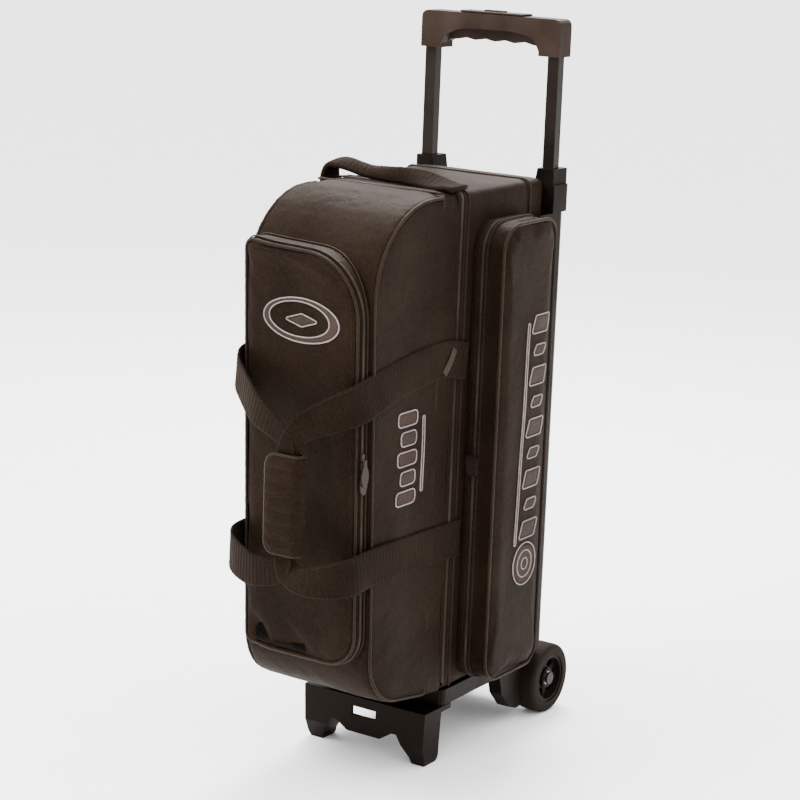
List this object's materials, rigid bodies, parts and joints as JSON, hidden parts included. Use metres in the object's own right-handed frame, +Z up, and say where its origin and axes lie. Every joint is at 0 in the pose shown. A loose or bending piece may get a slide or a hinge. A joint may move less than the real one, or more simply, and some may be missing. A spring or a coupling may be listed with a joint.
{
  "type": "rolling bowling bag",
  "caption": "Upright fabric bowling bag that stacks its balls one above the other on a wheeled base, with a telescopic pull handle, opening lid, zipped pockets and carrying straps.",
  "frame": {"origin": "on the floor, under the centre of the bounding box", "axes": "+Z up, the front with the carrying straps faces -Y, the side pocket is on +X"},
  "size_m": [0.297, 0.6635, 1.112],
  "materials": {
    "moulded_plastic": "moulded, fine texture",
    "soft_grip": "matt soft-touch",
    "steel": "satin",
    "tube_metal": "satin",
    "rod_enamel": "satin black-brown",
    "nylon_cloth": "dense woven polyester",
    "webbing": "ribbed webbing",
    "zip_tape": "woven tape with coil",
    "zip_metal": "satin",
    "foam": "moulded foam",
    "board": "fibreboard",
    "tyre_rubber": "matt rubber"
  },
  "bodies": {
    "bag_body": {"base_tray": "moulded_plastic", "front_stand": "moulded_plastic", "axle_housing": "moulded_plastic", "wheel_fender_left": "moulded_plastic", "wheel_fender_right": "moulded_plastic", "axle": "steel", "axle_cap_left": "rod_enamel", "axle_cap_right": "rod_enamel", "rear_body_shell": "nylon_cloth", "main_zipper": "zip_tape", "back_board": "board", "ball_cup_lower": "foam", "ball_cup_middle": "foam", "ball_cup_upper": "foam", "ball_shelf_middle": "board", "ball_shelf_upper": "board", "outer_tube_left": "tube_metal", "outer_tube_right": "tube_metal", "tube_foot": "moulded_plastic", "back_cover": "moulded_plastic", "top_bracket": "moulded_plastic", "side_pocket_base": "nylon_cloth", "top_grab_handle": "webbing"},
    "telescopic_handle": {"inner_rod_left": "rod_enamel", "inner_rod_right": "rod_enamel", "rod_stop_left": "moulded_plastic", "rod_stop_right": "moulded_plastic", "grip_shell_front": "moulded_plastic", "grip_shell_rear": "soft_grip", "grip_top_pad": "soft_grip"},
    "release_button": {"release_button": "soft_grip", "release_yoke": "moulded_plastic", "lock_rod_left": "steel", "lock_rod_right": "steel"},
    "wheel_left": {"wheel_tyre_left": "tyre_rubber", "wheel_rim_left": "moulded_plastic", "wheel_bearing_left": "steel"},
    "wheel_right": {"wheel_tyre_right": "tyre_rubber", "wheel_rim_right": "moulded_plastic", "wheel_bearing_right": "steel"},
    "lid": {"lid_shell": "nylon_cloth", "front_pocket_gusset": "nylon_cloth", "front_pocket_panel": "nylon_cloth"},
    "strap_left": {"carry_strap_left": "webbing"},
    "strap_right": {"carry_strap_right": "webbing", "carry_grip_wrap": "nylon_cloth"},
    "side_pocket_cover": {"side_pocket_cover": "nylon_cloth"},
    "slider_front_upper": {"zip_slider_front_upper": "zip_metal"},
    "slider_front_lower": {"zip_slider_front_lower": "zip_metal"},
    "slider_side_upper": {"zip_slider_side_upper": "zip_metal"},
    "slider_side_lower": {"zip_slider_side_lower": "zip_metal"},
    "slider_main": {"zip_slider_main": "zip_metal"},
    "pull_front_upper": {"zip_pull_front_upper": "zip_metal"},
    "pull_front_lower": {"zip_pull_front_lower": "zip_metal"},
    "pull_side_upper": {"zip_pull_side_upper": "zip_metal"},
    "pull_side_lower": {"zip_pull_side_lower": "zip_metal"},
    "pull_main": {"zip_pull_main": "zip_metal"}
  },
  "joints": [
    {"name": "handle_travel", "type": "slide", "parent": "bag_body", "child": "telescopic_handle", "axis": [0, 0, 1], "range_m": [-0.165, 0]},
    {"name": "button_press", "type": "slide", "parent": "telescopic_handle", "child": "release_button", "axis": [0, 0, 1], "range_m": [-0.004, 0], "stiffness_N_per_m": 1500, "springref_m": 0.003},
    {"name": "lid_open", "type": "hinge", "parent": "bag_body", "child": "lid", "pos_m": [-0.0165, -0.0225, 0.115], "axis": [1, 0, 0], "range_deg": [0, 30]},
    {"name": "strap_swing_right", "type": "hinge", "parent": "bag_body", "child": "strap_right", "pos_m": [0.0984, 0.0068, 0.485], "axis": [0, 0, 1], "range_deg": [0, 90]},
    {"name": "strap_swing_left", "type": "hinge", "parent": "bag_body", "child": "strap_left", "pos_m": [-0.1314, 0.0068, 0.485], "axis": [0, 0, 1], "range_deg": [-90, 0]},
    {"name": "side_pocket_open", "type": "hinge", "parent": "bag_body", "child": "side_pocket_cover", "pos_m": [0.1129, 0.1643, 0.4735], "axis": [0, 0, 1], "range_deg": [0, 85]},
    {"name": "wheel_spin_left", "type": "hinge", "parent": "bag_body", "child": "wheel_left", "pos_m": [-0.1285, 0.2758, 0.056], "axis": [1, 0, 0], "continuous": true},
    {"name": "wheel_spin_right", "type": "hinge", "parent": "bag_body", "child": "wheel_right", "pos_m": [0.0955, 0.2758, 0.056], "axis": [1, 0, 0], "continuous": true},
    {"name": "slider_travel_front_upper", "type": "slide", "parent": "lid", "child": "slider_front_upper", "axis": [0, -0.0359, 0.9994], "range_m": [0, 0.085]},
    {"name": "pull_swing_front_upper", "type": "hinge", "parent": "slider_front_upper", "child": "pull_front_upper", "pos_m": [0.0945, -0.24665, 0.51678], "axis": [0, -0.9994, -0.0359], "range_deg": [0, 90]},
    {"name": "slider_travel_front_lower", "type": "slide", "parent": "lid", "child": "slider_front_lower", "axis": [0, -0.0359, 0.9994], "range_m": [-0.235, 0]},
    {"name": "pull_swing_front_lower", "type": "hinge", "parent": "slider_front_lower", "child": "pull_front_lower", "pos_m": [0.0923, -0.24622, 0.50478], "axis": [0, -0.9994, -0.0359], "range_deg": [0, 90]},
    {"name": "slider_travel_side_upper", "type": "slide", "parent": "bag_body", "child": "slider_side_upper", "axis": [0, 0, 1], "range_m": [0, 0.28]},
    {"name": "pull_swing_side_upper", "type": "hinge", "parent": "slider_side_upper", "child": "pull_side_upper", "pos_m": [0.1125, 0.0071, 0.479], "axis": [-1, 0, 0], "range_deg": [0, 90]},
    {"name": "slider_travel_side_lower", "type": "slide", "parent": "bag_body", "child": "slider_side_lower", "axis": [0, 0, 1], "range_m": [-0.28, 0]},
    {"name": "pull_swing_side_lower", "type": "hinge", "parent": "slider_side_lower", "child": "pull_side_lower", "pos_m": [0.1125, 0.0095, 0.467], "axis": [-1, 0, 0], "range_deg": [0, 90]},
    {"name": "slider_travel_main", "type": "slide", "parent": "bag_body", "child": "slider_main", "axis": [0, 0, 1], "range_m": [-0.03, 0.06]},
    {"name": "pull_swing_main", "type": "hinge", "parent": "slider_main", "child": "pull_main", "pos_m": [-0.1343, -0.0225, 0.477], "axis": [0, 1, 0], "range_deg": [0, 90]}
  ],
  "couplings": [
    {"joint": "strap_swing_right", "follows": "lid_open", "ratio": 3},
    {"joint": "strap_swing_left", "follows": "lid_open", "ratio": -3},
    {"joint": "pull_swing_front_upper", "follows": "pull_swing_front_lower", "ratio": 1},
    {"joint": "pull_swing_side_upper", "follows": "pull_swing_side_lower", "ratio": 1}
  ]
}
